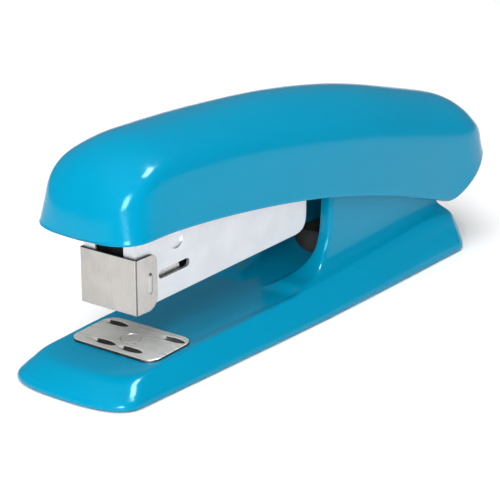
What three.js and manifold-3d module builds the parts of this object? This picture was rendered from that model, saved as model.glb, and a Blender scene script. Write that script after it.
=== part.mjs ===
// A half-strip desk stapler in millimetres: +Z up, nose towards -Y, hinge at the rear, standing on Z = 0.
import * as THREE from 'three';
import { mergeVertices } from 'three/addons/utils/BufferGeometryUtils.js';
import Module from 'manifold-3d';

const wasm = await Module();
wasm.setup();

const CLOSE = 0.3; // gap between pieces that touch in the real object
const CUT = 0.5; // how far a cutting solid runs past the face it opens
const TURN = Math.PI / 180;

// ---- driving dimensions: Y is counted from the outer face of the front plate until the last lines ----
const PIVOT = { y: 110, z: 18.8, radius: 1.8 };
const BASE = { front: -16.5, rear: 122.6, lip: 1.6, wall: 2, deckWall: 1.5, bottom: 0.3, dish: 0.85 };
const PAD = { inset: 1.6, plug: 0.6, top: 1.1 };
const EAR = { inner: 7, outer: 10.5, front: 67, rear: 112.4, foot: 117.5, boss: 4.6 };
const WELL = { half: 6.7, front: 75.3, rear: 111.5, seatFront: 93, seatRear: 97, seatTop: 7.6 };
const TRAY = { half: 6.5, front: 75.9, rear: 92.5, low: 2, top: 12.5, wall: 0.5 };
const ANVIL = { y: 7, top: 6.95, slope: 2.5 * TURN, half: 12.2, length: 14.7, thick: 0.8, corner: 3.2 };
const CLINCH = { offset: 4.6, length: 7.3, near: 3.8, far: 8.2 };
const BUTTON = { low: -6.2, top: -5, radius: 4.2, hole: 1.5 };
const POST = { low: -6.4, radius: 1.2, head: 2.2, collar: 2 };
const ARM = { inner: 5.9, outer: 6.7, front: 52, neck: 28.5 };
const CHANNEL = { half: 7.4, wall: 0.8, slope: 1.9 * TURN, low: 16.75, rear: 61.3, top: 34.5, front: 0.7 };
const PLATE = { half: 8.05, thick: 0.6, low: 16, top: 28.5, tab: 6.9 };
const RAIL = { half: 5.6, wall: 0.8, top: 6.4, low: 2.6, front: 3, foot: 5.8, block: 52, rear: 57 };
const ROD = { radius: 0.8, z: 3.8 };
const RIVETS = [4.4, 54.5];
const PUSHER = { half: 6.4, wall: 0.6, front: 3.4, rear: 16.6, low: 1.1, top: 7.3, barFront: 7, barRear: 11 };
const HANDLE = { nose: -9.9, tail: 137, wall: 1.5, tailZ: 24.4, inset: 1.6 };
const FRAME = { half: 11.6, wall: 0.7, front: 3.4, drop: 4.5, rear: 116 };
const BLADE = { half: 6.3, thick: 0.5, low: 24.5, y: 1.85, tilt: 4.2 * TURN, tab: 12 };
const DRIVER_RIVET = { x: 3.4, y: 8, radius: 1, head: 1.9 };
const CROSS_PIN = { y: 98, z: 19.5, radius: 1 };
const COVER_SCREWS = [35, 85];
const TAIL_START = 100; // behind this the handle's section closes round the tail's height

// ---- solids ----
function toSolid(geometry) {
  const bare = geometry.clone();
  bare.deleteAttribute('normal');
  bare.deleteAttribute('uv');
  const welded = mergeVertices(bare, 1e-4);
  const count = welded.index.count;
  const triangles = new Uint32Array(count);
  for (let i = 0; i < count; i += 1) triangles[i] = welded.index.getX(i);
  const vertices = Float32Array.from(welded.attributes.position.array);
  return new wasm.Manifold(new wasm.Mesh({ numProp: 3, vertProperties: vertices, triVerts: triangles }));
}

function toGeometry(solid) {
  const mesh = solid.getMesh();
  const geometry = new THREE.BufferGeometry();
  const stride = mesh.numProp;
  const places = new Float32Array(mesh.numVert * 3);
  for (let i = 0; i < mesh.numVert; i += 1) {
    for (let k = 0; k < 3; k += 1) places[3 * i + k] = mesh.vertProperties[stride * i + k];
  }
  geometry.setAttribute('position', new THREE.BufferAttribute(places, 3));
  geometry.setIndex(new THREE.BufferAttribute(Uint32Array.from(mesh.triVerts), 1));
  geometry.computeVertexNormals();
  return geometry;
}

function box(x0, x1, y0, y1, z0, z1) {
  const geometry = new THREE.BoxGeometry(x1 - x0, y1 - y0, z1 - z0);
  geometry.translate((x0 + x1) / 2, (y0 + y1) / 2, (z0 + z1) / 2);
  return toSolid(geometry);
}

// A side profile in (Y, Z), swept across X.
function sideSweep(shape, x0, x1, segments = 5) {
  const settings = { depth: x1 - x0, bevelEnabled: false, curveSegments: segments };
  const geometry = new THREE.ExtrudeGeometry(shape, settings);
  const turn = new THREE.Matrix4().makeBasis(
    new THREE.Vector3(0, 1, 0), new THREE.Vector3(0, 0, 1), new THREE.Vector3(1, 0, 0));
  geometry.applyMatrix4(turn);
  geometry.translate(x0, 0, 0);
  return toSolid(geometry);
}

// A plan outline in (X, Y), swept up Z.
function planSweep(shape, z0, z1, segments = 5) {
  const settings = { depth: z1 - z0, bevelEnabled: false, curveSegments: segments };
  const geometry = new THREE.ExtrudeGeometry(shape, settings);
  geometry.translate(0, 0, z0);
  return toSolid(geometry);
}

function cylinderX(radius, x0, x1, y, z, sides = 20) {
  const geometry = new THREE.CylinderGeometry(radius, radius, x1 - x0, sides);
  geometry.rotateZ(Math.PI / 2);
  geometry.translate((x0 + x1) / 2, y, z);
  return toSolid(geometry);
}

function cylinderY(radius, y0, y1, x, z, sides = 12) {
  const geometry = new THREE.CylinderGeometry(radius, radius, y1 - y0, sides);
  geometry.translate(x, (y0 + y1) / 2, z);
  return toSolid(geometry);
}

function cylinderZ(radius, z0, z1, x, y, sides = 20) {
  const geometry = new THREE.CylinderGeometry(radius, radius, z1 - z0, sides);
  geometry.rotateX(Math.PI / 2);
  geometry.translate(x, y, (z0 + z1) / 2);
  return toSolid(geometry);
}

// A solid of revolution about Z, from (radius, z) pairs that start and end on the axis.
function turned(pairs, sides = 16) {
  const points = pairs.map(([radius, z]) => new THREE.Vector2(radius, z));
  const geometry = new THREE.LatheGeometry(points, sides);
  geometry.rotateX(Math.PI / 2);
  return closedSolid(geometry);
}

// Some lathe and loft surfaces come out inside out; this gives the solid either way.
function closedSolid(geometry) {
  const bare = geometry.clone();
  bare.deleteAttribute('normal');
  bare.deleteAttribute('uv');
  const welded = mergeVertices(bare, 1e-4);
  const place = welded.attributes.position;
  const kept = [];
  let volume = 0;
  const corner = [new THREE.Vector3(), new THREE.Vector3(), new THREE.Vector3()];
  for (let i = 0; i < welded.index.count; i += 3) {
    const trio = [0, 1, 2].map((k) => welded.index.getX(i + k));
    if (trio[0] === trio[1] || trio[1] === trio[2] || trio[2] === trio[0]) continue;
    trio.forEach((v, k) => corner[k].fromBufferAttribute(place, v));
    volume += corner[0].dot(corner[1].clone().cross(corner[2]));
    kept.push(trio);
  }
  const facing = volume > 0 ? kept : kept.map(([a, b, c]) => [a, c, b]);
  welded.setIndex(facing.flat());
  return toSolid(welded);
}

// Joins closed loops that mirror left to right: point i faces point n - i, points 0 and n / 2 lie on X = 0.
function loft(loops) {
  const n = loops[0].length;
  const places = loops.flat().flatMap((p) => [p.x, p.y, p.z]);
  const faces = [];
  for (let k = 0; k + 1 < loops.length; k += 1) {
    for (let i = 0; i < n; i += 1) {
      const a = k * n + i;
      const b = k * n + (i + 1) % n;
      faces.push(a, b, b + n, a, b + n, a + n);
    }
  }
  const last = (loops.length - 1) * n;
  for (let i = 0; i < n / 2; i += 1) {
    const across = [i, i + 1, (n - i - 1) % n, (n - i) % n];
    const [a, b, c, d] = across;
    faces.push(a, c, b, a, d, c);
    faces.push(last + a, last + b, last + c, last + a, last + c, last + d);
  }
  const geometry = new THREE.BufferGeometry();
  geometry.setAttribute('position', new THREE.Float32BufferAttribute(places, 3));
  geometry.setIndex(faces);
  return closedSolid(geometry);
}

// Round wire along a curve.
function wire(curve, radius, steps, sides = 5) {
  const section = new THREE.Shape();
  for (let i = 0; i < sides; i += 1) {
    const angle = (i / sides) * 2 * Math.PI;
    const go = i ? 'lineTo' : 'moveTo';
    section[go](radius * Math.cos(angle), radius * Math.sin(angle));
  }
  const settings = { steps, bevelEnabled: false, extrudePath: curve };
  return closedSolid(new THREE.ExtrudeGeometry(section, settings));
}

function polygon(points) {
  return new THREE.Shape(points.map(([a, b]) => new THREE.Vector2(a, b)));
}

// ---- smooth functions along the length ----
// A smooth curve through a few (y, value) pairs.
function through(pairs) {
  const curve = new THREE.SplineCurve(pairs.map(([y, v]) => new THREE.Vector2(y, v)));
  const samples = curve.getPoints(16 * pairs.length);
  return (y) => {
    const inside = THREE.MathUtils.clamp(y, samples[0].x, samples.at(-1).x);
    const i = Math.max(1, samples.findIndex((p) => p.x >= inside));
    const [p, q] = [samples[i - 1], samples[i]];
    return THREE.MathUtils.lerp(p.y, q.y, (inside - p.x) / (q.x - p.x));
  };
}

// Rounded end: 0 at the tip, 1 from one reach away; a higher power is squarer.
function roundedEnd(distance, reach, power) {
  const s = THREE.MathUtils.clamp(distance / reach, 0, 1);
  return (1 - (1 - s) ** power) ** (1 / power);
}

// Stations packed towards the two ends of a span.
function stations(start, end, frontReach, rearReach, frontSteps, midSteps, rearSteps) {
  const list = [];
  for (let i = 0; i < frontSteps; i += 1) list.push(start + frontReach * ((i + 0.25) / frontSteps) ** 2.2);
  for (let i = 0; i <= midSteps; i += 1) {
    list.push(start + frontReach + ((end - rearReach - start - frontReach) * i) / midSteps);
  }
  for (let i = rearSteps - 1; i >= 0; i -= 1) list.push(end - rearReach * ((i + 0.25) / rearSteps) ** 2.2);
  return list;
}

// ---- base ----
const baseHalf = through([[-17, 17], [0, 17.2], [45, 17.8], [70, 17.6], [100, 16.8], [124, 16.1]]);
const crest = through([
  [-17, 5.4], [-1, 6.05], [15, 6.75], [57, 7.7], [76, 8.6], [97, 9.5],
  [108, 9.5], [114, 8.8], [118, 7.5], [121, 5.7], [124, 2.5],
]);

// Height of a level of the base: 0 is the lip, 1 the crest of the shoulders, and the deck lies in between.
function levelHeight(share) {
  return (y) => BASE.lip + share * (crest(y) - BASE.lip);
}

const deck = levelHeight(BASE.dish);

// One level of the base: the plan outline moved in at the sides, the nose and the rear.
function baseLoop(inset, height, steps, frontInset = inset, rearInset = inset) {
  const [front, rear] = [BASE.front + frontInset, BASE.rear - rearInset];
  const side = stations(front, rear, 8, 9, steps, Math.round(steps * 1.8), steps + 1);
  const right = side.map((y) => {
    const ends = roundedEnd(y - front, 8, 2.7) * roundedEnd(rear - y, 8, 2.4);
    return new THREE.Vector3((baseHalf(y) - inset) * ends, y, height(y));
  });
  const left = right.map((p) => new THREE.Vector3(-p.x, p.y, p.z)).reverse();
  const frontTip = new THREE.Vector3(0, front, height(front));
  const rearTip = new THREE.Vector3(0, rear, height(rear));
  return [frontTip, ...right, rearTip, ...left];
}

function baseBody() {
  const shoulder = [
    [0, 0, 0.7], [1, 0.33, 0.2], [1.9, 0.6, 0.1], [2.6, 0.84, 0.8], [3.2, 0.96, 1.9], [3.7, 1, 3.2],
    [4.3, 0.93, 4.6], [5.4, 0.88, 6], [8, BASE.dish, 8.4],
  ];
  const levels = shoulder.map(([inset, share, rearInset]) => (
    baseLoop(inset, levelHeight(share), 5, inset * 1.4, rearInset)));
  return loft([baseLoop(0.3, () => BASE.bottom, 5, 0.3, 1), ...levels]);
}

function baseCavity() {
  const inset = BASE.wall;
  const roof = (y) => deck(y) - BASE.deckWall;
  const levels = [
    baseLoop(inset, () => BASE.bottom - CUT, 3),
    baseLoop(inset, () => BASE.lip, 3),
    baseLoop(inset + 4, roof, 3),
  ];
  return loft(levels);
}

// Side view of an ear: a swept front edge, a sloping top hidden in the handle and a round end at the pin.
function earShape(low) {
  const shape = new THREE.Shape();
  shape.moveTo(54, low);
  shape.lineTo(54, deck(54) - CUT);
  shape.lineTo(57, deck(57));
  shape.bezierCurveTo(62.4, 8.3, EAR.front - 0.6, 13, EAR.front - 0.2, 19.5);
  shape.lineTo(EAR.front + 0.3, 27);
  shape.lineTo(PIVOT.y, PIVOT.z + EAR.boss);
  shape.absarc(PIVOT.y, PIVOT.z, EAR.boss, Math.PI / 2, -Math.PI / 5, true);
  shape.lineTo(EAR.rear, 13.3);
  shape.bezierCurveTo(EAR.rear + 0.3, 11.8, EAR.rear + 1.8, 10.6, EAR.foot, deck(EAR.foot) - CUT);
  shape.lineTo(EAR.foot, low);
  return shape;
}

// Concave strip that softens the corner between an ear and the deck.
function earFillet(side) {
  const section = (y, reach) => {
    const low = deck(y) - CUT;
    return [[0, low], [reach + 0.4, low], [reach * 0.45, deck(y) + 0.2 * reach], [0, deck(y) + reach]];
  };
  const reaches = [[58.5, 0.7], [63, 2.2], [76, 2.5], [95, 2.5], [112, 1.5]];
  const rows = reaches.map(([y, reach]) => section(y, reach).map(([x, z]) => (
    new THREE.Vector3(side * (EAR.outer - 0.3 + x), y, z))));
  const faces = [];
  for (let k = 0; k + 1 < rows.length; k += 1) {
    for (let i = 0; i < 4; i += 1) {
      const [a, b] = [4 * k + i, 4 * k + (i + 1) % 4];
      faces.push(a, b, b + 4, a, b + 4, a + 4);
    }
  }
  const last = 4 * (rows.length - 1);
  faces.push(0, 2, 1, 0, 3, 2, last, last + 1, last + 2, last, last + 2, last + 3);
  const geometry = new THREE.BufferGeometry();
  const places = rows.flat().flatMap((p) => p.toArray());
  geometry.setAttribute('position', new THREE.Float32BufferAttribute(places, 3));
  geometry.setIndex(faces);
  return closedSolid(geometry);
}

// Moves a solid built along Z at the origin to the anvil's tilted axis, its top at height 0.
function onAnvil(solid) {
  return solid.rotate([ANVIL.slope / TURN, 0, 0]).translate([0, ANVIL.y, ANVIL.top]);
}

function baseShell() {
  const ears = [1, -1].map((side) => {
    const [near, far] = side > 0 ? [EAR.inner, EAR.outer] : [-EAR.outer, -EAR.inner];
    return sideSweep(earShape(BASE.bottom + 1), near, far);
  });
  const ribs = [24, 44].map((y) => box(-20, 20, y, y + 1.6, BASE.bottom + 1, 20));
  const cavity = [...ribs, ...ears].reduce((space, wall) => space.subtract(wall), baseCavity());
  const seat = box(-WELL.half, WELL.half, WELL.seatFront, WELL.seatRear, 0, WELL.seatTop);
  const well = box(-WELL.half, WELL.half, WELL.front, WELL.rear, BASE.bottom - CUT, 40).subtract(seat);
  const body = baseBody().subtract(cavity).subtract(well);
  const postHole = onAnvil(cylinderZ(POST.collar + 0.4, -9, 2, 0, 0));
  const pinHole = cylinderX(PIVOT.radius + 0.05, -20, 20, PIVOT.y, PIVOT.z);
  const seatHalf = EAR.inner + CUT;
  const seatFeet = box(-seatHalf, seatHalf, WELL.seatFront, WELL.seatRear, BASE.bottom + 1, WELL.seatTop);
  const additions = [...ears, earFillet(1), earFillet(-1), seatFeet];
  const withEars = additions.reduce((sum, piece) => sum.add(piece), body);
  return withEars.subtract(postHole).subtract(pinHole);
}

// Black open box that lines the front of the well, ahead of the arm spring's seat.
function springTray() {
  const { half, front, rear, low, top, wall } = TRAY;
  const outer = box(-half, half, front, rear, low, top);
  return outer.subtract(box(-half + wall, half - wall, front + wall, rear - wall, low + wall, top + CUT));
}

// Rubber sheet under the base with a plug that stands in the cavity and a hole for the anvil button.
function basePad() {
  const rim = baseLoop(PAD.inset, () => 0, 4);
  const step = baseLoop(PAD.inset, () => BASE.bottom - CLOSE / 2, 4);
  const sheet = loft([rim, step]);
  const plugLow = baseLoop(BASE.wall + PAD.plug, () => BASE.bottom / 4, 4);
  const plugTop = baseLoop(BASE.wall + PAD.plug, () => PAD.top, 4);
  const buttonHole = cylinderZ(BUTTON.radius + 0.8, -1, 4, 0, ANVIL.y + 0.5, 24);
  return sheet.add(loft([plugLow, plugTop])).subtract(buttonHole);
}

function pivotPin() {
  const reach = FRAME.half + 0.6;
  return cylinderX(PIVOT.radius, -reach, reach, PIVOT.y, PIVOT.z);
}

function pinClip(side) {
  const inner = side * (FRAME.half + 0.15);
  const [x0, x1] = [Math.min(inner, inner + side * 0.4), Math.max(inner, inner + side * 0.4)];
  const ring = cylinderX(PIVOT.radius + 1.2, x0, x1, PIVOT.y, PIVOT.z);
  return ring.subtract(cylinderX(PIVOT.radius + 0.05, x0 - CUT, x1 + CUT, PIVOT.y, PIVOT.z));
}

function springSleeve() {
  const reach = ARM.inner - CLOSE;
  const tube = cylinderX(PIVOT.radius + 0.6, -reach, reach, PIVOT.y, PIVOT.z);
  return tube.subtract(cylinderX(PIVOT.radius + 0.1, -reach - CUT, reach + CUT, PIVOT.y, PIVOT.z));
}

// Torsion spring round the pin: a leg end, the coil, and the other leg end, each end given as (y, z).
function torsionSpring(x0, x1, firstEnd, lastEnd, firstAngle, lastAngle) {
  const [radius, turns, perTurn] = [3.1, 3, 10];
  const sweep = turns * 2 * Math.PI + (lastAngle - firstAngle);
  const count = turns * perTurn;
  const points = [new THREE.Vector3(x0, ...firstEnd)];
  for (let i = 0; i <= count; i += 1) {
    const angle = firstAngle + (sweep * i) / count;
    const [dy, dz] = [radius * Math.cos(angle), radius * Math.sin(angle)];
    points.push(new THREE.Vector3(x0 + ((x1 - x0) * i) / count, PIVOT.y + dy, PIVOT.z + dz));
  }
  points.push(new THREE.Vector3(x1, ...lastEnd));
  const smooth = new THREE.CatmullRomCurve3(points, false, 'centripetal');
  return wire(smooth, 0.4, count + 12);
}

function armReturnSpring() {
  return torsionSpring(-1.9, -5, [WELL.seatRear - 1.5, WELL.seatTop + 0.9],
    [CROSS_PIN.y - 1, CROSS_PIN.z - 2], -Math.PI / 2, Math.PI / 2);
}

function handleReturnSpring() {
  return torsionSpring(1.9, 5, [CROSS_PIN.y - 1, CROSS_PIN.z + 2], [93, 30.2], -Math.PI / 2, Math.PI / 2);
}

// ---- anvil ----
function roundedRectangle(halfX, halfY, corner) {
  const shape = new THREE.Shape();
  shape.moveTo(-halfX + corner, -halfY);
  shape.absarc(halfX - corner, -halfY + corner, corner, -Math.PI / 2, 0, false);
  shape.absarc(halfX - corner, halfY - corner, corner, 0, Math.PI / 2, false);
  shape.absarc(-halfX + corner, halfY - corner, corner, Math.PI / 2, Math.PI, false);
  shape.absarc(-halfX + corner, -halfY + corner, corner, Math.PI, 1.5 * Math.PI, false);
  return shape;
}

// Shallow curved pocket that bends one staple leg.
function clinchPocket(x, y) {
  const geometry = new THREE.SphereGeometry(1, 12, 8);
  geometry.scale(CLINCH.length / 2, 0.9, 0.6);
  geometry.translate(x, y, 0.05);
  return toSolid(geometry);
}

function anvilPlate() {
  let plate = planSweep(roundedRectangle(ANVIL.half, ANVIL.length / 2, ANVIL.corner), -ANVIL.thick, 0);
  for (const side of [-1, 1]) {
    plate = plate.subtract(clinchPocket(side * CLINCH.near, -CLINCH.offset));
    plate = plate.subtract(clinchPocket(side * CLINCH.far, CLINCH.offset));
  }
  const counterbore = cylinderZ(POST.head + 0.2, -0.45, 1, 0, 0);
  const hole = cylinderZ(POST.radius + 0.2, -2, 1, 0, 0);
  return onAnvil(plate.subtract(counterbore).subtract(hole));
}

function anvilPost() {
  const outline = [
    [0, POST.low], [POST.head, POST.low], [POST.head, POST.low + 0.5],
    [POST.radius, POST.low + 0.5], [POST.radius, -4.7], [POST.collar, -4.7],
    [POST.collar, -4.2], [POST.radius, -4.2], [POST.radius, -0.3],
    [POST.head, -0.3], [POST.head, 0], [0, 0.05],
  ];
  return onAnvil(turned(outline));
}

function anvilButton() {
  const disc = cylinderZ(BUTTON.radius, BUTTON.low, BUTTON.top, 0, 0, 24);
  const bore = cylinderZ(BUTTON.hole, BUTTON.low - 1, BUTTON.top + 1, 0, 0);
  const recess = cylinderZ(POST.head + 0.3, BUTTON.low - 1, -5.6, 0, 0);
  return onAnvil(disc.subtract(bore).subtract(recess));
}

function anvilSpring() {
  const [turns, radius, low, high] = [1.5, 3.2, BUTTON.top + 0.3, -3.05];
  const points = [];
  for (let i = 0; i <= turns * 12; i += 1) {
    const angle = (i / 12) * 2 * Math.PI;
    const z = low + ((high - low) * i) / (turns * 12);
    points.push(new THREE.Vector3(radius * Math.cos(angle), radius * Math.sin(angle), z));
  }
  return onAnvil(wire(new THREE.CatmullRomCurve3(points), 0.17, turns * 14));
}

// ---- magazine: its inner pieces are placed in a frame that follows the channel's slope ----
function onChannel(solid) {
  return solid.rotate([CHANNEL.slope / TURN, 0, 0]).translate([0, 0, CHANNEL.low]);
}

function channelProfile() {
  const slope = Math.tan(CHANNEL.slope);
  const floor = (y) => CHANNEL.low + slope * y;
  const shape = new THREE.Shape();
  shape.moveTo(CHANNEL.front, floor(CHANNEL.front));
  shape.lineTo(CHANNEL.rear - 4, floor(CHANNEL.rear - 4));
  shape.quadraticCurveTo(CHANNEL.rear, floor(CHANNEL.rear), CHANNEL.rear, floor(CHANNEL.rear) + 4);
  shape.lineTo(CHANNEL.rear, 32);
  shape.lineTo(24, CHANNEL.top);
  shape.lineTo(CHANNEL.front, CHANNEL.top);
  return shape;
}

// Narrower arm that runs back from inside each channel wall, between the ears, to the hinge pin.
function armProfile() {
  const shape = new THREE.Shape();
  shape.moveTo(ARM.front, ARM.neck - 3);
  shape.lineTo(CHANNEL.rear - 3, ARM.neck - 3);
  shape.lineTo(CHANNEL.rear, ARM.neck);
  shape.lineTo(72, ARM.neck);
  shape.lineTo(PIVOT.y - 6, PIVOT.z - 4);
  shape.absarc(PIVOT.y, PIVOT.z, 4.4, -Math.PI / 2, Math.PI / 2, false);
  shape.lineTo(76, 31);
  shape.lineTo(ARM.front, 32);
  return shape;
}

function magazineChannel() {
  const inner = CHANNEL.half - CHANNEL.wall;
  const rightArm = sideSweep(armProfile(), ARM.inner, ARM.outer);
  const arms = rightArm.add(sideSweep(armProfile(), -ARM.outer, -ARM.inner));
  const solid = sideSweep(channelProfile(), -CHANNEL.half, CHANNEL.half);
  const frontWall = box(-20, 20, -5, CHANNEL.front + 0.5, 0, 60);
  const hollow = onChannel(box(-inner, inner, 1.3, 140, CHANNEL.wall, 60)).subtract(frontWall);
  const mouth = box(-4, 4, -1, 2, 10, 40);
  const exit = onChannel(box(-inner, inner, 1.3, RAIL.front, -2, 2));
  const slot = new THREE.Shape();
  slot.absarc(9.3, 5.85, 1, Math.PI / 2, 1.5 * Math.PI, false);
  slot.absarc(17.7, 5.85, 1, -Math.PI / 2, Math.PI / 2, false);
  const window = onChannel(sideSweep(slot, -20, 20, 5));
  const deep = CHANNEL.half - 0.35;
  const dimples = [cylinderX(2.4, deep, 20, 14.2, 29.8), cylinderX(2.4, -20, -deep, 14.2, 29.8)];
  const pinHole = cylinderX(PIVOT.radius + 0.08, -20, 20, PIVOT.y, PIVOT.z);
  const crossHole = cylinderX(CROSS_PIN.radius + 0.15, -20, 20, CROSS_PIN.y, CROSS_PIN.z, 12);
  const rivetHoles = RIVETS.map((y) => onChannel(cylinderZ(1.1, -3, 2, 0, y, 12)));
  const channel = [hollow, mouth, exit, window, ...dimples].reduce((left, cut) => left.subtract(cut), solid);
  return [pinHole, crossHole, ...rivetHoles].reduce((left, cut) => left.subtract(cut), channel.add(arms));
}

function frontPlate() {
  const { half, thick, low, top, tab } = PLATE;
  const inner = half - thick + 0.05;
  const corner = new THREE.Shape();
  corner.moveTo(0, low);
  corner.lineTo(tab - 3, low);
  corner.absarc(tab - 3, low + 3, 3, -Math.PI / 2, 0, false);
  corner.absarc(tab - 1.8, top - 1.8, 1.8, 0, Math.PI / 2, false);
  corner.lineTo(0, top);
  const wrapped = sideSweep(corner, -half, half);
  const hollow = box(-inner, inner, thick, 20, 0, 60);
  const beads = [-1, 1].map((side) => {
    const capsule = new THREE.CapsuleGeometry(0.55, 3.4, 3, 8);
    capsule.rotateX(Math.PI / 2);
    capsule.scale(0.6, 1, 1);
    capsule.translate(side * half, 4.6, 22.2);
    return toSolid(capsule);
  });
  return beads.reduce((sum, bead) => sum.add(bead), wrapped.subtract(hollow)).subtract(
    box(-inner, inner, thick, 20, 0, 60));
}

function stapleRail() {
  const { half, wall, top, low, front, foot, block, rear } = RAIL;
  const cover = box(-half, half, front, rear, low, top);
  const hollow = box(-half + wall, half - wall, front - CUT, rear + CUT, 0, top - wall);
  const ends = [
    box(-half + wall - CUT, half - wall + CUT, front, foot, PUSHER.low, top - wall + 0.2),
    box(-half + 0.2, half - 0.2, block, rear, PUSHER.low, top - wall + 0.2),
  ];
  const bore = cylinderY(ROD.radius + 0.1, front + 0.6, rear - 0.6, 0, ROD.z);
  const rivetHoles = RIVETS.map((y) => cylinderZ(1, 0, 2.6, 0, y, 12));
  let rail = cover.subtract(hollow);
  for (const end of ends) rail = rail.add(end);
  for (const cut of [bore, ...rivetHoles]) rail = rail.subtract(cut);
  return onChannel(rail);
}

function railRivet(y) {
  const shank = turned([[0, -0.65], [1.5, -0.55], [1.5, -0.25], [0.8, -0.25], [0.8, 2.4], [0, 2.4]], 12);
  return onChannel(shank.translate([0, y, 0]));
}

function guideRod() {
  return onChannel(cylinderY(ROD.radius, RAIL.front + 0.8, RAIL.rear - 0.8, 0, ROD.z));
}

// Sheet-metal follower: a saddle over the rail, a bar under it with the rod's lug, and a finger tab.
function pusher() {
  const { half, wall, front, rear, low, top, barFront, barRear } = PUSHER;
  const side = new THREE.Shape();
  side.moveTo(front, low);
  side.lineTo(rear - 2.6, low);
  side.quadraticCurveTo(rear, low, rear, 4);
  side.quadraticCurveTo(rear, top, rear - 2.6, top);
  side.lineTo(front, top);
  const inner = half - wall;
  const saddle = sideSweep(side, -half, half);
  const hollow = box(-inner, inner, front - CUT, rear + CUT, 0, RAIL.top + 0.2);
  const bar = box(-inner - 0.1, inner + 0.1, barFront, barRear, low, low + 1.1);
  const lug = box(-2.4, 2.4, barFront, barRear, low, RAIL.top - RAIL.wall - 0.3);
  const bore = cylinderY(ROD.radius + 0.15, 0, 20, 0, ROD.z);
  const tab = box(-3, 3, 12.6, 13.3, top - 0.2, top + 3.4);
  return onChannel(saddle.subtract(hollow).add(bar).add(lug).subtract(bore).add(tab));
}

function pusherSpring() {
  const [turns, radius, start, end, perTurn] = [15, 1.3, PUSHER.barRear + 0.3, RAIL.block - 0.3, 8];
  const points = [];
  for (let i = 0; i <= turns * perTurn; i += 1) {
    const angle = (i / perTurn) * 2 * Math.PI;
    const y = start + ((end - start) * i) / (turns * perTurn);
    points.push(new THREE.Vector3(radius * Math.cos(angle), y, ROD.z + radius * Math.sin(angle)));
  }
  return onChannel(wire(new THREE.CatmullRomCurve3(points), 0.2, turns * perTurn, 4));
}

function springCrossPin() {
  const reach = ARM.outer - 0.1;
  return cylinderX(CROSS_PIN.radius, -reach, reach, CROSS_PIN.y, CROSS_PIN.z, 12);
}

// ---- handle ----
const rimLine = through([
  [-12, 34.4], [5.5, 35], [31, 32.9], [59, 28.6], [85, 22.4], [106, 15.9], [119, 12.4], [138, 12],
]);
const ridgeLine = through([
  [-12, 49.6], [7, 48.9], [33, 47.2], [71, 41.1], [92, 36.5], [114, 31.4], [138, 27.5],
]);
const crownLine = through([
  [-12, 53.8], [18, 54.1], [40, 53.4], [61, 51.7], [85, 47.8], [111, 41.1], [138, 33.4],
]);
const handleHalf = through([[-12, 14.7], [20, 15], [70, 15], [111, 14.5], [138, 13.8]]);

// Half of the handle's section at one station, from the crown to the lower rim, moved in by an inset.
function handleSection(y, inset, perPart) {
  const tailEnd = roundedEnd(HANDLE.tail - inset - y, 17, 2.7);
  const rimEnd = roundedEnd(y - HANDLE.nose - inset, 9, 3) * tailEnd;
  const ridgeEnd = roundedEnd(y - HANDLE.nose - inset, 13, 2.6) * tailEnd;
  const rise = roundedEnd(y - HANDLE.nose - inset, 22, 2.35);
  const tailTop = roundedEnd(HANDLE.tail - inset - y, 18, 2.6);
  const tailLow = roundedEnd(HANDLE.tail - inset - y, 24, 1.17);
  const low = rimLine(y);
  const closing = (z, share) => (y < TAIL_START ? z : THREE.MathUtils.lerp(HANDLE.tailZ, z, share));
  const lift = (z) => closing(THREE.MathUtils.lerp(low, z, rise), tailTop);
  const sink = closing(low, tailLow);
  const rimHalf = (handleHalf(y) - inset) * rimEnd;
  const ridgeHalf = (handleHalf(y) - HANDLE.inset - inset) * ridgeEnd;
  const [crown, ridge] = [lift(crownLine(y) - inset), lift(ridgeLine(y) - inset)];
  const top = (x) => crown - (crown - ridge) * (x / ridgeHalf) ** 2.2;
  const shoulder = ridgeHalf * 0.82;
  const rim = new THREE.Vector2(rimHalf, sink);
  const sideTop = new THREE.Vector2(ridgeHalf, ridge).lerp(rim, 0.2);
  const points = [];
  for (let i = 0; i < perPart; i += 1) {
    const x = (shoulder * i) / perPart;
    points.push(new THREE.Vector2(x, top(x)));
  }
  const start = new THREE.Vector2(shoulder, top(shoulder));
  const corner = new THREE.Vector2(ridgeHalf, THREE.MathUtils.lerp(ridge, crown, 0.06));
  const bend = new THREE.QuadraticBezierCurve(start, corner, sideTop);
  points.push(...bend.getPoints(perPart));
  points.push(sideTop.clone().lerp(rim, 0.5), rim);
  return points;
}

function handleLoops(inset, perPart, frontSteps, midSteps, rearSteps, deepen) {
  const list = stations(HANDLE.nose + inset, HANDLE.tail - inset, 22, 18, frontSteps, midSteps, rearSteps);
  return list.map((y) => {
    const half = handleSection(y, inset, perPart);
    const rim = half.at(-1);
    rim.y -= deepen;
    const right = half.map((p) => new THREE.Vector3(p.x, y, p.y));
    const bottom = new THREE.Vector3(0, y, rim.y);
    const left = right.slice(1).map((p) => new THREE.Vector3(-p.x, p.y, p.z)).reverse();
    return [...right, bottom, ...left];
  });
}

function frameTop(y) {
  return ridgeLine(y) - FRAME.drop;
}

function handleCover() {
  const outer = loft(handleLoops(0, 3, 7, 9, 7, 0));
  const inner = loft(handleLoops(HANDLE.wall, 3, 5, 8, 5, 8));
  let cover = outer.subtract(inner);
  for (const y of COVER_SCREWS) {
    const low = frameTop(y - 3) + CLOSE;
    const boss = cylinderZ(2.8, low, crownLine(y) - 0.8, 0, y, 14);
    const bore = cylinderZ(1.3, low - CUT, low + 5, 0, y, 10);
    cover = cover.add(boss).subtract(bore);
  }
  return cover;
}

function driverRivetHoles() {
  const { x, y, radius } = DRIVER_RIVET;
  return [-1, 1].map((side) => cylinderZ(radius + 0.25, 40, 60, side * x, y, 12));
}

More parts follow.
